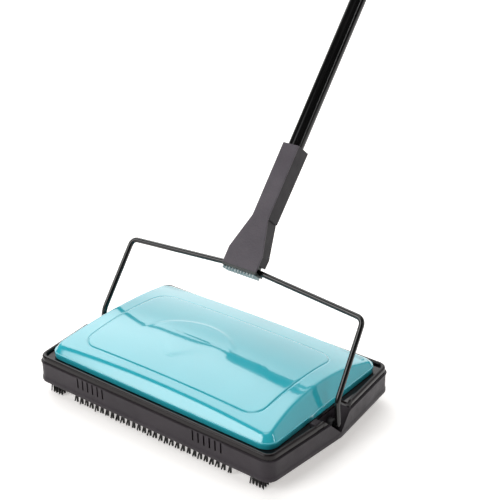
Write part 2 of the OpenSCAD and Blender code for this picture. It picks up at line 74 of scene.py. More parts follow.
PAN_SPRING_X, PAN_SPRING_Y, PAN_SPRING_Z, PAN_SPRING_R = 96.9, 76.0, 12.0, 3.2
WIRE_R = 2.5
PIVOT_X = 139.0
KNEE, SHOULDER, APEX = Vector((136.5, 1.4, 23.1)), Vector((133.5, 43.3, 83.7)), Vector((0, 50, 91))
HANDLE_LEAN = math.radians(40)
TUBE_Y, TUBE_R, TUBE_FOOT = 0.3, 7.5, 44.0
JOINTS_AT = (315.0, 619.0)
COLLAR, COUPLER_REACH = 3.0, 26.0
HANDLE_LEN, GRIP_LEN, GRIP_R, CAP_H = 1014.0, 130.0, 12.0, 8.0
BRUSH_Z, BRUSH_R, BRUSH_HALF, CORE_R = 22.3, 22.0, 87.0, 7.0
TUFT_ROWS, TUFTS_IN_ROW, TUFT_TWIST = 5, 18, 150
TYRE_SHOULDER_R, TYRE_CROWN, TYRE_BORE_R = 14.2, 0.8, 12.0
CORNERS = [(sx, sy) for sx in (-1, 1) for sy in (-1, 1)]

# +z up the handle from the middle of the bail's crossbar, -y its front.
ON_HANDLE = Matrix.Translation(APEX + Vector((0, 0, PIVOT_Z))) @ Matrix.Rotation(-HANDLE_LEAN, 4, "X")


# ---------------------------------------------------------------- materials
def new_material(name):
    """A node material, its tree and its Principled BSDF."""
    mat = bpy.data.materials.new(name)
    mat.use_nodes = True
    tree = mat.node_tree
    return mat, tree, tree.nodes["Principled BSDF"]


def node(tree, kind, **inputs):
    """A new node. Each keyword sets the socket of that name, or else the property."""
    n = tree.nodes.new(kind)
    for key, value in inputs.items():
        if key in n.inputs:
            n.inputs[key].default_value = value
        else:
            setattr(n, key, value)
    return n


def coords(tree, scale=(1, 1, 1)):
    """Object coordinates, in metres times scale."""
    mapping = node(tree, "ShaderNodeMapping")
    mapping.inputs["Scale"].default_value = scale
    tree.links.new(node(tree, "ShaderNodeTexCoord").outputs["Object"], mapping.inputs["Vector"])
    return mapping.outputs["Vector"]


def noise(tree, vector, scale, detail=3.0, rough=0.55):
    n = node(tree, "ShaderNodeTexNoise", Scale=scale, Detail=detail, Roughness=rough)
    tree.links.new(vector, n.inputs["Vector"])
    return n.outputs["Fac"]


def spread(tree, value, low, high, start=0.3, end=0.7, ease="LINEAR"):
    """Maps a value from the range start..end to low..high, held at both ends."""
    n = node(tree, "ShaderNodeMapRange", interpolation_type=ease)
    for key, v in (("From Min", start), ("From Max", end), ("To Min", low), ("To Max", high)):
        n.inputs[key].default_value = v
    tree.links.new(value, n.inputs["Value"])
    return n.outputs["Result"]


def two_tone(tree, value, a, b):
    """Colour a where value is 0, b where it is 1."""
    n = node(tree, "ShaderNodeMix", data_type="RGBA")
    n.inputs["A"].default_value = (*a, 1)
    n.inputs["B"].default_value = (*b, 1)
    tree.links.new(value, n.inputs["Factor"])
    return n.outputs["Result"]


def relief(tree, bsdf, layers):
    """layers: (height output, depth in metres), stacked into one normal."""
    normal = None
    for height, depth in layers:
        bump = node(tree, "ShaderNodeBump", Strength=1.0, Distance=depth)
        tree.links.new(height, bump.inputs["Height"])
        if normal:
            tree.links.new(normal, bump.inputs["Normal"])
        normal = bump.outputs["Normal"]
    tree.links.new(normal, bsdf.inputs["Normal"])


def set_sockets(bsdf, **values):
    for key, value in values.items():
        bsdf.inputs[key.replace("_", " ")].default_value = value


def moulded(name, dark, light, rough=(0.45, 0.6), grain=1500, grain_depth=0.00005, scuff_depth=0.00001,
            specular=0.5):
    """Spark-grained moulded plastic, with faint cloudy variation and scuffs."""
    mat, tree, bsdf = new_material(name)
    at = coords(tree)
    tone = two_tone(tree, spread(tree, noise(tree, at, 38, 4), 0, 1), dark, light)
    tree.links.new(tone, bsdf.inputs["Base Color"])
    tree.links.new(spread(tree, noise(tree, at, 120, 5), *rough), bsdf.inputs["Roughness"])
    scuffs = noise(tree, coords(tree, (60, 900, 900)), 3, 4)
    relief(tree, bsdf, [(noise(tree, at, grain, 2), grain_depth), (scuffs, scuff_depth)])
    set_sockets(bsdf, Specular_IOR_Level=specular)
    return mat


def glossy(name, dark, light, rough=(0.06, 0.11), wave_depth=0.00002, coat=0.6, swirl=0.00000012,
           specular=0.5):
    """Polished plastic or lacquer: slight flow waviness, hairline swirls and a clear top coat."""
    mat, tree, bsdf = new_material(name)
    at = coords(tree)
    tone = two_tone(tree, spread(tree, noise(tree, at, 14, 3), 0, 1), dark, light)
    tree.links.new(tone, bsdf.inputs["Base Color"])
    tree.links.new(spread(tree, noise(tree, at, 220, 6, 0.7), *rough), bsdf.inputs["Roughness"])
    hair = noise(tree, coords(tree, (30, 700, 700)), 6, 3)
    relief(tree, bsdf, [(noise(tree, at, 22, 2), wave_depth), (hair, swirl)])
    set_sockets(bsdf, Coat_Weight=coat, Coat_Roughness=0.04, Specular_IOR_Level=specular)
    return mat


def steel(name):
    """Zinc-plated steel with fine drawn lines."""
    mat, tree, bsdf = new_material(name)
    at = coords(tree)
    tone = two_tone(tree, noise(tree, at, 90, 5), (0.42, 0.42, 0.44), (0.62, 0.61, 0.58))
    tree.links.new(tone, bsdf.inputs["Base Color"])
    lines = noise(tree, coords(tree, (1, 1, 30)), 260, 3)
    tree.links.new(spread(tree, lines, 0.25, 0.42), bsdf.inputs["Roughness"])
    relief(tree, bsdf, [(lines, 0.000008)])
    set_sockets(bsdf, Metallic=1.0)
    return mat


def ribbed_foot(name):
    """Dark moulded saddle whose ribbed underside is pale."""
    mat, tree, bsdf = new_material(name)
    down_handle = Vector((0, -math.sin(HANDLE_LEAN), -math.cos(HANDLE_LEAN)))
    down = node(tree, "ShaderNodeVectorMath", operation="DOT_PRODUCT")
    down.inputs[1].default_value = down_handle
    at = coords(tree)
    tree.links.new(at, down.inputs[0])
    # Pale starts 5.5 mm below the crossbar's middle, measured down the handle.
    lip = ON_HANDLE.translation.dot(down_handle) * MM + 5.5 * MM
    under = spread(tree, down.outputs["Value"], 0, 1, lip, lip + 0.6 * MM)
    cloudy = spread(tree, noise(tree, at, 90, 4), 0, 1)
    dark = two_tone(tree, cloudy, (0.018, 0.023, 0.021), (0.030, 0.036, 0.033))
    pale = two_tone(tree, cloudy, (0.40, 0.44, 0.45), (0.54, 0.57, 0.57))
    tone = node(tree, "ShaderNodeMix", data_type="RGBA")
    tree.links.new(dark, tone.inputs["A"])
    tree.links.new(pale, tone.inputs["B"])
    tree.links.new(under, tone.inputs["Factor"])
    tree.links.new(tone.outputs["Result"], bsdf.inputs["Base Color"])
    tree.links.new(spread(tree, noise(tree, at, 140, 4), 0.34, 0.5), bsdf.inputs["Roughness"])
    relief(tree, bsdf, [(noise(tree, at, 1200, 2), 0.00003)])
    return mat


MAT = {
    "housing": moulded("housing_plastic", (0.025, 0.020, 0.025), (0.035, 0.028, 0.034), (0.36, 0.48),
                       750, 0.00010, specular=0.24),
    "socket": moulded("socket_plastic", (0.078, 0.067, 0.080), (0.100, 0.088, 0.102), (0.36, 0.48),
                      520, 0.00028, specular=0.24),
    "deck": glossy("deck_gloss", (0.006, 0.0045, 0.0045), (0.011, 0.0075, 0.008), (0.05, 0.10),
                   coat=0, specular=0.25),
    "cover": glossy("cover_gloss", (0.028, 0.450, 0.540), (0.034, 0.485, 0.580), (0.10, 0.15), 0.00008, 1.0),
    "wire": glossy("wire_lacquer", (0.004, 0.0035, 0.0035), (0.008, 0.007, 0.007), (0.09, 0.16),
                   coat=0.25, specular=0.4),
    "tube": glossy("tube_lacquer", (0.003, 0.003, 0.003), (0.006, 0.0055, 0.0055), (0.07, 0.13),
                   coat=0, specular=0.3),
    # Darker copy of the socket plastic for the socket's rear shell: painted shade on its side, which is
    # moulded in the same plastic as the front.
    "socket_shaded": moulded("socket_shaded_plastic", (0.022, 0.019, 0.022), (0.032, 0.028, 0.032), (0.40, 0.52),
                           620, 0.00014, specular=0.16),
    "grip": moulded("grip_plastic", (0.010, 0.010, 0.011), (0.020, 0.019, 0.020), (0.35, 0.5), 900, 0.00006),
    "clamp": ribbed_foot("clamp_plastic"),
    "bush": moulded("bush_plastic", (0.48, 0.48, 0.44), (0.60, 0.59, 0.55), (0.35, 0.45)),
    "inner": moulded("inner_plastic", (0.014, 0.014, 0.015), (0.026, 0.025, 0.027), (0.4, 0.6)),
    "tyre": moulded("tyre_rubber", (0.016, 0.015, 0.015), (0.030, 0.028, 0.027), (0.65, 0.85), 500, 0.00008),
    "bristle": moulded("bristle_nylon", (0.003, 0.003, 0.003), (0.010, 0.009, 0.009), (0.35, 0.5),
                       3000, 0.00001, specular=0.25),
    "steel": steel("plated_steel"),
}
MAT_OF_SLOT = {
    "housing_plastic": "housing", "deck_gloss": "deck", "cover_gloss": "cover", "bristle": "bristle",
    "bush_plastic": "bush", "steel": "steel", "inner_plastic": "inner", "tyre_rubber": "tyre",
    "wire_black": "wire", "socket_plastic": "socket", "clamp_plastic": "clamp", "tube_black": "tube",
    "coupler_plastic": "inner", "grip_black": "grip",
}
SLOT_OF = {s["node"]: s["material_slot"] for s in frame["record"]["subparts"]}


# ---------------------------------------------------------------- mesh helpers
def add_object(name, data):
    obj = bpy.data.objects.new(name, data)
    bpy.context.scene.collection.objects.link(obj)
    return obj


def add_mesh(name, verts, faces):
    """A mesh object from millimetre points."""
    mesh = bpy.data.meshes.new(name)
    mesh.from_pydata([tuple(Vector(v) * MM) for v in verts], [], faces)
    return add_object(name, mesh)


def shade(obj, smooth_deg=40):
    """Smooth shading, with edges sharper than smooth_deg kept hard."""
    obj.data.shade_smooth()
    obj.data.set_sharp_from_angle(angle=math.radians(smooth_deg))


def piece(name, verts, faces, like, smooth_deg=40, transform=None, replace=True):
    """A piece from millimetre points, finished and carried like the CAD node named in like."""
    obj = add_mesh(name, verts, faces)
    if transform:
        scaled = transform.copy()
        scaled.translation = transform.translation * MM
        obj.data.transform(scaled)
    bm = bmesh.new()
    bm.from_mesh(obj.data)
    bmesh.ops.recalc_face_normals(bm, faces=bm.faces)
    bm.to_mesh(obj.data)
    bm.free()
    return dress(obj, like, smooth_deg, replace)


def dress(obj, like, smooth_deg=40, replace=True, look=None):
    """Shades obj and gives it the material for the slot of the CAD node named in like, and that node's body.
    """
    shade(obj, smooth_deg)
    obj.data.materials.clear()
    obj.data.materials.append(MAT[look or MAT_OF_SLOT[SLOT_OF[like]]])
    if replace:
        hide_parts(like)
    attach(obj, BODY_OF[like])
    return obj


def softened(like, width=0.35, segments=2, angle=28, smooth_deg=40, look=None):
    """The CAD node's own shape with its hard edges rounded."""
    obj = add_object(like + "_fine", frame["nodes"][like].data.copy())
    bm = bmesh.new()
    bm.from_mesh(obj.data)
    bmesh.ops.remove_doubles(bm, verts=bm.verts, dist=0.000002)
    bmesh.ops.dissolve_limit(bm, angle_limit=math.radians(0.6), verts=bm.verts, edges=bm.edges)
    bm.to_mesh(obj.data)
    bm.free()
    bevel = obj.modifiers.new("bevel", "BEVEL")
    bevel.width = width * MM
    bevel.segments = segments
    bevel.limit_method = "ANGLE"
    bevel.angle_limit = math.radians(angle)
    bevel.use_clamp_overlap = True
    apply_modifiers(obj)
    return dress(obj, like, smooth_deg, look=look)


def apply_modifiers(obj):
    graph = bpy.context.evaluated_depsgraph_get()
    mesh = bpy.data.meshes.new_from_object(obj.evaluated_get(graph))
    obj.modifiers.clear()
    obj.data = mesh


def cut(obj, *cutters):
    """Takes closed cutter meshes (millimetre points, faces) out of obj."""
    for verts, faces in cutters:
        tool = add_mesh("cutter", verts, faces)
        mesh = tool.data
        mod = obj.modifiers.new("cut", "BOOLEAN")
        mod.object = tool
        mod.operation = "DIFFERENCE"
        mod.solver = "EXACT"
        apply_modifiers(obj)
        bpy.data.objects.remove(tool)
        bpy.data.meshes.remove(mesh)
    shade(obj)


def prism(outline, axis, low, high):
    """A closed prism. outline holds points of the two other axes, in x, y, z order."""
    n = len(outline)

    def at(p, h):
        v = list(p)
        v.insert(axis, h)
        return v

    verts = [at(p, low) for p in outline] + [at(p, high) for p in outline]
    faces = [[i, (i + 1) % n, n + (i + 1) % n, n + i] for i in range(n)]
    faces += [list(range(n))[::-1], list(range(n, 2 * n))]
    return verts, faces


def block(lo, hi):
    """A closed box between two opposite corners."""
    return prism([(lo[0], lo[1]), (hi[0], lo[1]), (hi[0], hi[1]), (lo[0], hi[1])], 2, lo[2], hi[2])


def notch_cutters():
    """The V notches of both sides, cut past the outer wall."""
    top = NOTCH_LOW + NOTCH_RISE
    outline = [(0, NOTCH_LOW), (NOTCH_RISE, top), (-NOTCH_RISE, top)]
    past_wall = BODY_APEX_W / 2 + 3.5
    return [prism(outline, 0, *sorted((s * NOTCH_X, s * past_wall))) for s in (-1, 1)]


def rings_to_mesh(rings, close_loop=False, cap=False):
    """Joins rings of equal length into quads. close_loop also joins the last ring to the first."""
    count = len(rings[0])
    verts = [v for ring in rings for v in ring]
    faces = []
    steps = len(rings) if close_loop else len(rings) - 1
    for i in range(steps):
        a, b = i * count, ((i + 1) % len(rings)) * count
        for j in range(count):
            k = (j + 1) % count
            faces.append([a + j, a + k, b + k, b + j])
    if cap:
        faces.append(list(range(count))[::-1])
        faces.append([(len(rings) - 1) * count + j for j in range(count)])
    return verts, faces


def lathe(name, profile, like, seg=48, transform=None, replace=True, closed=False, radius=None):
    """Turns (r, z) points round z. closed joins the last point to the first, for a hollow ring."""
    rings = []
    for r, z in profile:
        ring = []
        for j in range(seg):
            a = 2 * math.pi * j / seg
            rr = radius(r, z, a) if radius else r
            ring.append((rr * math.cos(a), rr * math.sin(a), z))
        rings.append(ring)
    verts, faces = rings_to_mesh(rings, close_loop=closed, cap=not closed)
    return piece(name, verts, faces, like, transform=transform, replace=replace)


def bend_points(a, p, b, size, steps):
    """A bend at p between lines from a and to b, starting and ending size away from p."""
    start, end = p + (a - p).normalized() * size, p + (b - p).normalized() * size
    ts = [i / steps for i in range(steps + 1)]
    return [start * (1 - t) ** 2 + p * (2 * t * (1 - t)) + end * t * t for t in ts]


def sweep_rings(path, radius, sides=16, normal=None):
    """Rings along a path, by parallel transport unless a plane normal is given."""
    rings = []
    side = None
    for i, p in enumerate(path):
        t = (path[min(i + 1, len(path) - 1)] - path[max(i - 1, 0)]).normalized()
        if normal:
            side = t.cross(normal).normalized()
        elif side is None:
            side = t.orthogonal().normalized()
        else:
            side = (side - t * side.dot(t)).normalized()
        up = t.cross(side)
        turns = [2 * math.pi * j / sides for j in range(sides)]
        rings.append([p + side * (radius * math.cos(a)) + up * (radius * math.sin(a)) for a in turns])
    return rings


def filaments(name, like, stems, replace=True):
    """Many tapered hairs in one mesh. A stem is (root, tip, radius)."""
    sides = 5
    verts, faces = [], []
    for root, tip, r in stems:
        axis = (tip - root).normalized()
        side = axis.orthogonal().normalized()
        up = axis.cross(side)
        base = len(verts)
        mid = root.lerp(tip, 0.55) + side * rng.uniform(-0.15, 0.15)
        for p, k in ((root, 1.0), (mid, 0.95), (tip, 0.6)):
            for j in range(sides):
                a = 2 * math.pi * j / sides
                verts.append(p + (side * math.cos(a) + up * math.sin(a)) * (r * k))
        for q in (base, base + sides):
            for j in range(sides):
                k = (j + 1) % sides
                faces.append([q + j, q + k, q + sides + k, q + sides + j])
        faces.append([base + 2 * sides + j for j in range(sides)])
        faces.append([base + j for j in range(sides)][::-1])
    return piece(name, verts, faces, like, smooth_deg=75, replace=replace)


# ---------------------------------------------------------------- plan outlines
def side_x(y, t):
    """Half width of the head at y, for a side set in by t."""
    return BODY_APEX_W / 2 - SIDE_K * abs(y) - t / math.cos(SIDE_A)


def plan_outline(t, arc=10, side_steps=20, front_steps=60):
    """Plan of the head set in by t, as points in order from the middle of the right side."""
    r = max(CORNER_R - t, 1.5)
    cy = BODY_D / 2 - t - r
    cx = side_x(cy, t + r)
    apex = Vector((side_x(0, t), 0))
    start = Vector((cx + r * math.cos(SIDE_A), cy + r * math.sin(SIDE_A)))
    quarter = [apex.lerp(start, i / side_steps) for i in range(side_steps)]
    for i in range(arc + 1):
        a = SIDE_A + (math.pi / 2 - SIDE_A) * i / arc
        quarter.append(Vector((cx + r * math.cos(a), cy + r * math.sin(a))))
    quarter += [Vector((cx * (1 - i / front_steps), cy + r)) for i in range(1, front_steps + 1)]
    back_left = [Vector((-p.x, p.y)) for p in quarter[::-1][1:]]
    half = quarter + back_left
    return half + [Vector((p.x, -p.y)) for p in half[::-1][1:-1]]


def rounded_rect(half_x, half_y, r, cy=0.0, arc=10, nx=44, ny=30):
    """Rounded rectangle with the same number of points whatever its size."""
    pts = []
    corners = [(1, 1, 0), (-1, 1, 90), (-1, -1, 180), (1, -1, 270)]
    for sx, sy, a0 in corners:
        c = Vector((sx * (half_x - r), cy + sy * (half_y - r)))
        for i in range(arc + 1):
            a = math.radians(a0 + 90 * i / arc)
            pts.append(c + Vector((math.cos(a), math.sin(a))) * r)
        nxt = corners[(corners.index((sx, sy, a0)) + 1) % 4]
        b = Vector((nxt[0] * (half_x - r), cy + nxt[1] * (half_y - r)))
        b += Vector((math.cos(math.radians(a0 + 90)), math.sin(math.radians(a0 + 90)))) * r
        steps = nx if sy * nxt[1] > 0 else ny
        last = pts[-1].copy()
        pts += [last.lerp(b, i / steps) for i in range(1, steps)]
    return pts


def rect_distance(x, y, half_x, half_y, r, cy=0.0):
    """Signed distance to a rounded rectangle, negative inside."""
    dx, dy = abs(x) - (half_x - r), abs(y - cy) - (half_y - r)
    return math.hypot(max(dx, 0), max(dy, 0)) + min(max(dx, dy), 0) - r


# ---------------------------------------------------------------- head
def skirt_skin():
    """Outer face of the skirt wall: lower lip, slight waist and the raised ridge under the deck."""
    below = [(0.6, WALL_BOTTOM + 0.1), (-0.2, WALL_BOTTOM), (-0.62, 12.2), (-0.75, 13.0), (-0.70, 15.2),
             (-0.45, 16.0), (-0.22, 16.7), (-0.10, 18.2), (-0.06, 21.0), (-0.08, 25.0), (-0.16, 28.2),
             (-0.26, 30.3), (-0.30, 30.8)]
    above = [(-0.28, 32.1), (0.1, 32.38), (0.6, 32.38)]
    ridge = [ridge_ring(z) for z in (31.05, 31.75)]
    rings = [plan_ring(t, z) for t, z in below] + ridge + [plan_ring(t, z) for t, z in above]
    verts, faces = rings_to_mesh(rings, close_loop=True)
    skin = piece("skirt_skin", verts, faces, "base_housing", replace=False)
    slots = []
    for s in (-1, 1):
        for i in range(SLOT_COUNT):
            x = s * (SLOT_FIRST - i * SLOT_PITCH)
            slots.append(block((x - SLOT_W / 2, -96, 21.0), (x + SLOT_W / 2, -84, 31.5)))
    cut(skin, *notch_cutters(), *slots)


def plan_ring(t, z):
    return [(p.x, p.y, z) for p in plan_outline(t)]


def ridge_ring(z):
    """Stands proud of the wall, except over the front's two rows of slots."""
    slots_to = SLOT_FIRST + 4
    slots_from = SLOT_FIRST - SLOT_PITCH * (SLOT_COUNT - 1) - 3.5
    ring = []
    for flat, proud in zip(plan_outline(-0.3), plan_outline(-0.85)):
        over_slots = flat.y < -85 and slots_from < abs(flat.x) < slots_to
        p = flat if over_slots else proud
        ring.append((p.x, p.y, z))
    return ring


def deck():
    """Glossy deck: a flat plate with the rounded bead round its edge."""
    softened("top_deck", 0.5, 3)
    outer, bead_r, steps = 0.62, 2.1, 12
    profile = [(outer, DECK_TOP - 2.5), (outer, DECK_TOP + 0.6)]
    for i in range(steps + 1):
        a = math.pi * i / steps
        profile.append((outer + 2.08 * (1 - math.cos(a)), DECK_TOP + 0.95 + bead_r * math.sin(a)))
    profile += [(4.9, DECK_TOP - 0.3), (2.7, DECK_TOP - 2.5)]
    verts, faces = rings_to_mesh([plan_ring(t, z) for t, z in profile], close_loop=True)
    bead = piece("deck_bead", verts, faces, "top_deck", replace=False)
    pocket = block((TAB_X[0] - 0.4, TAB_Y[0] - 0.4, 30), (TAB_X[1] + 6, TAB_Y[1] + 0.4, 45))
    cut(bead, *notch_cutters(), pocket)


def smooth_min(a, b, k):
    h = max(k - abs(a - b), 0) / k
    return min(a, b) - h * h * k / 4


def cover_height(x, y):
    """Top surface of the cover: bevelled border, then a crowned panel inside a fine groove."""
    inset = -rect_distance(x, y, *COVER_HALF, COVER_R)
    bevel = SKIRT_TOP + BEVEL_K * max(inset - LEDGE, 0)
    crown = COVER_TOP - CROWN_R + math.sqrt(CROWN_R ** 2 - (y - CROWN_Y) ** 2)
    crown -= 2.6 * (x / 110) ** 2
    z = smooth_min(bevel, crown, 2.6)
    groove = rect_distance(x, y, *PANEL_HALF, PANEL_R, PANEL_Y)
    z -= 0.5 * math.exp(-(groove / 0.8) ** 2)
    z += 0.35 / (1 + math.exp(groove / 0.8))
    # A low arch pressed into the middle of the panel.
    dx, dy = x - ARCH_AT[0], y - ARCH_AT[1]
    arc = math.hypot(dx, dy * 0.94) - ARCH_R
    window = 1 / (1 + math.exp((abs(math.atan2(dy, dx) - ARCH_MIDDLE) - ARCH_HALF_ANGLE) * 9))
    z += window * (0.6 / (1 + math.exp(arc / 1.3)) + 0.35 * math.exp(-(arc / 1.4) ** 2))
    return z


def cover_outline(inset):
    """Plan of the cover, set in from its skirt."""
    hx, hy = COVER_HALF
    return rounded_rect(hx - inset, hy - inset, max(COVER_R - inset, 3.5))


def panel_outline(out):
    """Plan of the crowned panel, grown by out."""
    hx, hy = PANEL_HALF
    return rounded_rect(hx + out, hy + out, PANEL_R + out, PANEL_Y)


def cover_outside():
    """Rings of the cover's outer face, from its foot up the skirt and in to the panel's middle."""
    foot = DECK_TOP + 0.05
    skirt = [(2.6, foot), (0.35, foot), (0.08, DECK_TOP + 0.3), (0.0, DECK_TOP + 0.9), (0.0, SKIRT_TOP - 1.6),
             (0.0, SKIRT_TOP - 0.5), (0.12, SKIRT_TOP - 0.14), (0.35, SKIRT_TOP)]
    rings = [[(p.x, p.y, z) for p in cover_outline(t)] for t, z in skirt]

    border_insets = [0.62, 0.8, 0.92, 1.15, 1.6, 2.2] + [3.0 + 0.8 * i for i in range(12)]
    plans = [cover_outline(t) for t in border_insets]
    border_edge, panel_edge, steps = plans[-1], panel_outline(3), 7
    for i in range(1, steps + 1):
        plans.append([p.lerp(q, i / steps) for p, q in zip(border_edge, panel_edge)])
    to_groove = (2.2, 1.6, 1.2, 0.9, 0.6, 0.3)
    plans += [panel_outline(d) for d in (*to_groove, 0.0, *(-d for d in to_groove[::-1]), -3.0)]
    core_x, core_y, core_r = PANEL_HALF[0] - 3, PANEL_HALF[1] - 3, PANEL_R - 3
    shrink = 56
    for i in range(1, shrink):
        k = 1 - i / shrink
        plans.append(rounded_rect(max(core_x - core_y * (1 - k), 1), max(core_y * k, 0.4),
                                  max(min(core_r, 55 * k) * k, 0.2), PANEL_Y))
    return rings + [[(p.x, p.y, cover_height(p.x, p.y)) for p in plan] for plan in plans]


def cover_hollow():
    """Rings of the hollow inside, a wall's thickness in from the outer face."""
    wall = 2.8
    hx, hy = COVER_HALF
    lower = rounded_rect(hx - wall, hy - wall, COVER_R - wall)
    upper = rounded_rect(hx - 9, hy - 9, 4)
    levels = ((lower, DECK_TOP + 0.05), (lower, SKIRT_TOP - 1), (upper, 47.0))
    return [[(p.x, p.y, z) for p in plan] for plan, z in levels]


def top_cover():
    outside, inside = cover_outside(), cover_hollow()
    verts, faces = rings_to_mesh(outside)
    n = len(outside[0])
    last = (len(outside) - 1) * n
    faces.append([last + j for j in range(n)])
    base = len(verts)
    more, more_faces = rings_to_mesh(inside)
    verts += more
    faces += [[base + i for i in f] for f in more_faces]
    ceiling = base + (len(inside) - 1) * n
    faces.append([ceiling + j for j in range(n)])
    faces += [[j, (j + 1) % n, base + (j + 1) % n, base + j] for j in range(n)]
    piece("top_cover_shell", verts, faces, "top_cover", smooth_deg=60)
    cover_posts()


def cover_posts():
    """Screw posts under the cover."""
    for i, (sx, sy) in enumerate(CORNERS, start=1):
        place = Matrix.Translation((sx * COVER_SCREW[0], sy * COVER_SCREW[1], 0))
        profile = [(1.55, 14.2), (3.3, 14.2), (3.5, 14.5), (3.5, 39), (4, 40), (4, 46), (1.55, 46)]
        lathe(f"cover_post_{i}", profile, "top_cover", 24, place, replace=False, closed=True)


def edge_brushes():
    """Rows of separate tufts, whose hairs run together towards the tip."""
    for like, s in (("front_edge_brush", -1), ("rear_edge_brush", 1)):
        softened(like, 0.15, 1)
        y = s * (BODY_D / 2 - 2.6 - 1.7)
        stems = []
        for i in range(-EDGE_TUFTS_EACH_SIDE, EDGE_TUFTS_EACH_SIDE + 1):
            x = i * EDGE_TUFT_PITCH
            foot = Vector((x + rng.uniform(-3.4, -2.4), y + s * rng.uniform(0.2, 1.0), rng.uniform(0.7, 1.6)))
            for _ in range(22):
                a, q = rng.uniform(0, 2 * math.pi), math.sqrt(rng.random())
                root = Vector((x + 1.25 * q * math.cos(a), y + 0.8 * q * math.sin(a), WALL_BOTTOM - 0.2))
                tip = foot + Vector((rng.uniform(-0.6, 0.6), rng.uniform(-0.5, 0.5), rng.uniform(-0.4, 1.2)))
                stems.append((root, tip, 0.22))
        filaments(like + "_bristles", like, stems, replace=False)


def corner_brushes():
    """Blocks of tufts that splay slightly towards the floor."""
    for like in [n for n in BODY_OF if n.startswith("corner_brush")]:
        sx = 1 if like.endswith("right") else -1
        sy = 1 if "_rear_" in like else -1
        stems = []
        for i in range(CORNER_ROWS[0]):
            for j in range(CORNER_ROWS[1]):
                u, v = i - (CORNER_ROWS[0] - 1) / 2, j - (CORNER_ROWS[1] - 1) / 2
                x = sx * CORNER_BRUSH[0] + u * CORNER_PITCH[0]
                y = sy * CORNER_BRUSH[1] + v * CORNER_PITCH[1]
                for _ in range(11):
                    a, q = rng.uniform(0, 2 * math.pi), 0.62 * math.sqrt(rng.random())
                    root = Vector((x + q * math.cos(a), y + q * math.sin(a), 13.0))
                    tip = root + Vector((u * 0.45 + rng.uniform(-0.45, 0.45),
                                         v * 0.35 + rng.uniform(-0.45, 0.45), 0))
                    tip.z = rng.uniform(0.2, 1.3)
                    stems.append((root, tip, 0.22))
        filaments(like + "_bristles", like, stems, replace=False)
        body = softened(like, 0.15, 1)
        body.name = like + "_block"


def main_brush():
    """Core, shaft and pulleys, with rows of tufts that twist round the core."""
    for like in ("brush_core", "brush_shaft", "brush_pulleys"):
        softened(like, 0.4)
    stems = []
    for row in range(TUFT_ROWS):
        for i in range(TUFTS_IN_ROW):
            along = i / (TUFTS_IN_ROW - 1)
            x = BRUSH_HALF * (2 * along - 1)
            a = math.radians(row * 360 / TUFT_ROWS + TUFT_TWIST * along)
            for _ in range(16):
                b = a + rng.uniform(-0.10, 0.10)
                dx = rng.uniform(-1.2, 1.2)
                root_r = CORE_R * 0.98
                root = Vector((x + dx * 0.6, -math.sin(b) * root_r, BRUSH_Z + math.cos(b) * root_r))
                c = a + (b - a) * 2.0
                r = BRUSH_R - rng.uniform(0, 0.5)
                tip = Vector((x + dx * 2.4, -math.sin(c) * r, BRUSH_Z + math.cos(c) * r))
                stems.append((root, tip, 0.28))
    filaments("brush_filaments", "brush_bristles", stems)


def wheels():
    """Rims as in the CAD, tyres with a crowned and finely treaded face."""
    for like in [n for n in BODY_OF if n.startswith("wheel_") and n != "wheel_axles"]:
        softened(like, 0.35)
    for like in [n for n in BODY_OF if n.startswith("tyre_")]:
        lo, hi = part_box(like)
        mid = (lo + hi) / 2 / MM
        half = (hi.x - lo.x) / 2 / MM
        profile = [(TYRE_BORE_R, -half)]
        for i in range(13):
            a = math.pi * i / 12
            profile.append((TYRE_SHOULDER_R + TYRE_CROWN * math.sin(a), -half * math.cos(a) * 0.98))
        profile.append((TYRE_BORE_R, half))

        def tread(r, z, a):
            return r - (0.28 if r > TYRE_SHOULDER_R + 0.3 and math.sin(a * 30) > 0.55 else 0)

        place = Matrix.Translation(mid) @ Matrix.Rotation(math.pi / 2, 4, "Y")
        lathe(like + "_tread", profile, like, 180, place, closed=True, radius=tread)


def pans_and_release():
    for like in ("front_pan", "rear_pan"):
        softened(like, 0.5)
    softened("release_link", 0.3)
    softened("release_tab", 0.4)
    for i in range(5):
        y = TAB_Y[0] + 1.2 + i * 1.4
        ridge = [(y - 0.4, 38.4), (y + 0.4, 38.4), (y + 0.15, 38.95), (y - 0.15, 38.95)]
        verts, faces = prism(ridge, 0, TAB_X[0] + 0.5, TAB_X[1] - 0.5)
        piece(f"tab_ridge_{i + 1}", verts, faces, "release_tab", replace=False)


def springs():
    """Torsion springs of the pans: two and a half turns of wire each."""
    steps, steps_in_turn, pitch, wire_r = 60, 24, 0.252, 0.33
    for sx, sy in CORNERS:
        path = []
        for i in range(steps + 1):
            turns = i / steps_in_turn
            a = 2 * math.pi * turns
            y, z = sy * PAN_SPRING_Y + PAN_SPRING_R * math.cos(a), PAN_SPRING_Z + PAN_SPRING_R * math.sin(a)
            path.append(Vector((sx * (PAN_SPRING_X + turns * pitch), y, z)))
        verts, faces = rings_to_mesh(sweep_rings(path, wire_r, 8), cap=True)
        name = f"pan_spring_{'left' if sx < 0 else 'right'}_{'front' if sy < 0 else 'rear'}"
        piece(name, verts, faces, "pan_springs")


def fasteners():
    """Bushes and axles, and the cover's screws with a cross recess in each head."""
    for like in ("brush_bushes", "bail_bushes", "wheel_axles"):
        softened(like, 0.2)
    screws = softened("cover_screws", 0.35)
    reach, half_slot, low, high = 2, 0.4, 9, 10.7
    crosses = []
    for sx, sy in CORNERS:
        x, y = sx * COVER_SCREW[0], sy * COVER_SCREW[1]
        for dx, dy in ((reach, half_slot), (half_slot, reach)):
            crosses.append(block((x - dx, y - dy, low), (x + dx, y + dy, high)))
    cut(screws, *crosses)


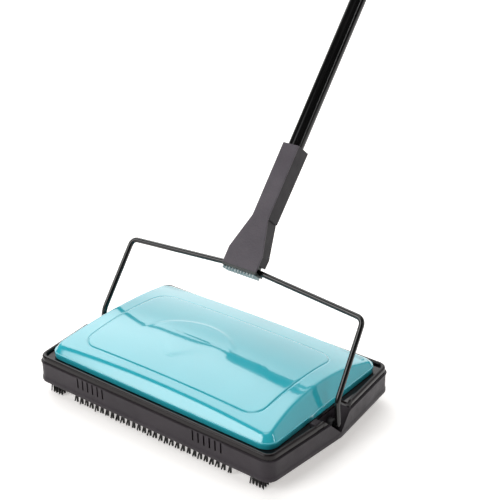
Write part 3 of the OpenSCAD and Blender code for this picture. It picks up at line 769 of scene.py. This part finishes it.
# ---------------------------------------------------------------- handle
def bail():
    """One bent wire: pivot end, knee and shoulder each side, and the bowed crossbar."""
    flip = Vector((-1, 1, 1))
    points = [Vector((124.5, 0, 0)), Vector((PIVOT_X, 0, 0)), KNEE, SHOULDER, APEX]
    path = [points[0]]
    for i, (size, steps) in enumerate(((3.0, 10), (5.5, 8), (7, 14)), start=1):
        path += bend_points(points[i - 1], points[i], points[i + 1], size, steps)
    path += bend_points(SHOULDER, APEX, SHOULDER * flip, 4, 4)
    half = [p for p in path if p.x > 6.5]
    path += [p * flip for p in half[::-1]]
    path = [p + Vector((0, 0, PIVOT_Z)) for p in path]
    normal = (SHOULDER - KNEE).cross(Vector((1, 0, 0))).normalized()
    verts, faces = rings_to_mesh(sweep_rings(path, WIRE_R, 24, normal), cap=True)
    piece("bail_rod", verts, faces, "bail_wire")


def socket():
    softened("socket_front", 0.45, 3, 14, smooth_deg=12)
    # The rear shell takes the darker copy of the socket plastic: painted shade.
    softened("socket_rear", 0.5, 3, 14, smooth_deg=12, look="socket_shaded")
    softened("wire_clamp", 0.2, 1)
    softened("socket_screws", 0.3)


def tubes():
    """Three tubes, the couplers inside their joints and the lower joint's snap button."""
    ends = {"lower_tube": (TUBE_FOOT, JOINTS_AT[0] - COLLAR / 2),
            "middle_tube": (JOINTS_AT[0] + COLLAR / 2, JOINTS_AT[1] - COLLAR / 2),
            "upper_tube": (JOINTS_AT[1] + COLLAR / 2, HANDLE_LEN - CAP_H)}
    place = ON_HANDLE @ Matrix.Translation((0, TUBE_Y, 0))
    for like, (z0, z1) in ends.items():
        r, t = TUBE_R, 0.5
        profile = [(r - t, z0), (r - 0.2, z0), (r, z0 + 0.25)]
        profile += [(r, z0 + (z1 - z0) * i / 12) for i in range(1, 12)]
        profile += [(r, z1 - 0.25), (r - 0.2, z1), (r - t, z1)]
        lathe(like + "_lacquered", profile, like, 64, place, closed=True)
    for like, z in (("lower_coupler", JOINTS_AT[0]), ("upper_coupler", JOINTS_AT[1])):
        r = TUBE_R - 0.53
        upper = [(7.9, COLLAR / 2 - 0.3), (7.6, COLLAR / 2), (r, COLLAR / 2), (r, COUPLER_REACH - 1.5),
                 (r - 0.8, COUPLER_REACH), (4.6, COUPLER_REACH)]
        profile = [(q, z - h) for q, h in upper[::-1]] + [(q, z + h) for q, h in upper]
        lathe(like + "_ring", profile, like, 64, place, closed=True)
    softened("snap_button", 0.6, 3)
    softened("snap_spring", 0.1, 1)


def grip():
    """Softly fluted sleeve with a rounded end cap."""
    place = ON_HANDLE @ Matrix.Translation((0, TUBE_Y, 0))
    z0, z1 = HANDLE_LEN - GRIP_LEN, HANDLE_LEN - CAP_H
    fluted = (z0 + 12, z1 - 8)

    def flutes(r, z, a):
        if r < GRIP_R - 0.3:
            return r
        ends = min(max((z - fluted[0]) / 5, 0), 1) * min(max((fluted[1] - z) / 5, 0), 1)
        return r - 0.45 * ends * (0.5 - 0.5 * math.cos(a * 20)) ** 0.6

    bore_r, steps = TUBE_R + 0.03, 60
    profile = [(bore_r, z0), (GRIP_R - 1.4, z0), (GRIP_R - 0.4, z0 + 0.4), (GRIP_R, z0 + 1.4)]
    profile += [(GRIP_R, z0 + 1.4 + (z1 - z0 - 1.8) * i / steps) for i in range(1, steps + 1)]
    profile += [(GRIP_R - 0.35, z1), (bore_r, z1)]
    lathe("grip_sleeve", profile, "grip", 160, place, closed=True, radius=flutes)
    top = [(6.9, z1 - 6), (6.9, z1), (GRIP_R - 0.35, z1), (GRIP_R, z1 + 0.35), (GRIP_R, z1 + 3)]
    for i in range(1, 11):
        a = math.pi / 2 * i / 10
        top.append((GRIP_R - 5 + 5 * math.cos(a), z1 + 3 + 5 * math.sin(a)))
    top += [(4, z1 + CAP_H), (0.2, z1 + CAP_H)]
    lathe("grip_end", top, "grip_cap", 64, place)


# ---------------------------------------------------------------- stage, light and camera
def area_light(name, place, target, size, power):
    light = bpy.data.lights.new(name, "AREA")
    light.shape = "RECTANGLE"
    light.size, light.size_y = size
    light.energy = power
    obj = add_object(name, light)
    obj.location = place
    obj.rotation_euler = (Vector(target) - Vector(place)).to_track_quat("-Z", "Y").to_euler()


AMBIENT = 0.04
# Bright patches of the studio's walls: direction, cosine where the patch fades out, cosine where it
# reaches its full strength, and that strength.
LOBES = [
    ((-0.55, 0.64, 0.52), 0.66, 0.92, 1.5),
    ((-0.62, 0.36, 0.70), 0.90, 0.985, 1.6),
    ((-0.38, -0.77, 0.51), 0.925, 0.968, 5.0),
    ((-0.12, -0.12, 0.98), 0.955, 0.985, 2.2),
    ((0.63, 0.70, 0.33), 0.88, 0.97, 0.8),
]


def floor():
    """Plain pale floor, lit a little from within so that it stays near white."""
    mat, tree, bsdf = new_material("studio_floor")
    tone = spread(tree, noise(tree, coords(tree), 3, 2), 0.0, 1.0)
    tree.links.new(two_tone(tree, tone, (0.90, 0.895, 0.89), (0.92, 0.915, 0.91)), bsdf.inputs["Base Color"])
    set_sockets(bsdf, Roughness=0.9, Specular_IOR_Level=0.1)
    set_sockets(bsdf, Emission_Color=(1, 0.97, 0.94, 1), Emission_Strength=0.48)
    half, below = 12000, -0.2
    outline = [(-half, -half), (half, -half), (half, half), (-half, half)]
    obj = add_mesh("studio_floor", [(x, y, below) for x, y in outline], [[0, 1, 2, 3]])
    obj.data.materials.append(mat)


def sky():
    """World light: a dim ambient with the bright patches of LOBES added up."""
    world = bpy.data.worlds.new("studio")
    bpy.context.scene.world = world
    world.use_nodes = True
    tree = world.node_tree
    back = tree.nodes["Background"]
    direction = node(tree, "ShaderNodeTexCoord").outputs["Generated"]
    total = None
    for toward, start, end, strength in LOBES:
        dot = node(tree, "ShaderNodeVectorMath", operation="DOT_PRODUCT")
        dot.inputs[1].default_value = Vector(toward).normalized()
        tree.links.new(direction, dot.inputs[0])
        glow = spread(tree, dot.outputs["Value"], 0, strength, start, end, "SMOOTHSTEP")
        add = node(tree, "ShaderNodeMath", operation="ADD")
        add.inputs[1].default_value = AMBIENT
        tree.links.new(glow, add.inputs[0])
        if total:
            tree.links.new(total, add.inputs[1])
        total = add.outputs["Value"]
    tree.links.new(total, back.inputs["Strength"])
    back.inputs["Color"].default_value = (1, 1, 1, 1)


def studio():
    floor()
    sky()
    area_light("top", (0.1, 0.1, 1.9), (0, 0, 0), (1.7, 1.7), 2)
    area_light("strip", (1.9, 0.3, 0.9), (0.1, 0.3, 0.3), (0.1, 1.4), 4)


def photo_camera():
    """The photograph's view: a camera fitted to the head's outline and the bail."""
    place = Vector((0.60274, -0.72025, 0.60487))
    azimuth, pitch, roll = (math.radians(a) for a in (37.7602, 25.9088, -0.3796))
    cam = bpy.data.cameras.new("photo_camera")
    cam.sensor_width = 36
    cam.lens = 85.858
    cam.clip_start, cam.clip_end = 0.01, 100
    turn = Matrix.Rotation(azimuth, 4, "Z") @ Matrix.Rotation(math.pi / 2 - pitch, 4, "X")
    obj = add_object("photo_camera", cam)
    obj.matrix_world = Matrix.Translation(place) @ turn @ Matrix.Rotation(roll, 4, "Z")
    bpy.context.scene.camera = obj
    bpy.context.scene.view_settings.view_transform = "Standard"


photo_camera()
studio()
softened("base_housing", 0.3, 2)
skirt_skin()
deck()
top_cover()
edge_brushes()
corner_brushes()
main_brush()
wheels()
pans_and_release()
springs()
fasteners()
bail()
socket()
tubes()
grip()
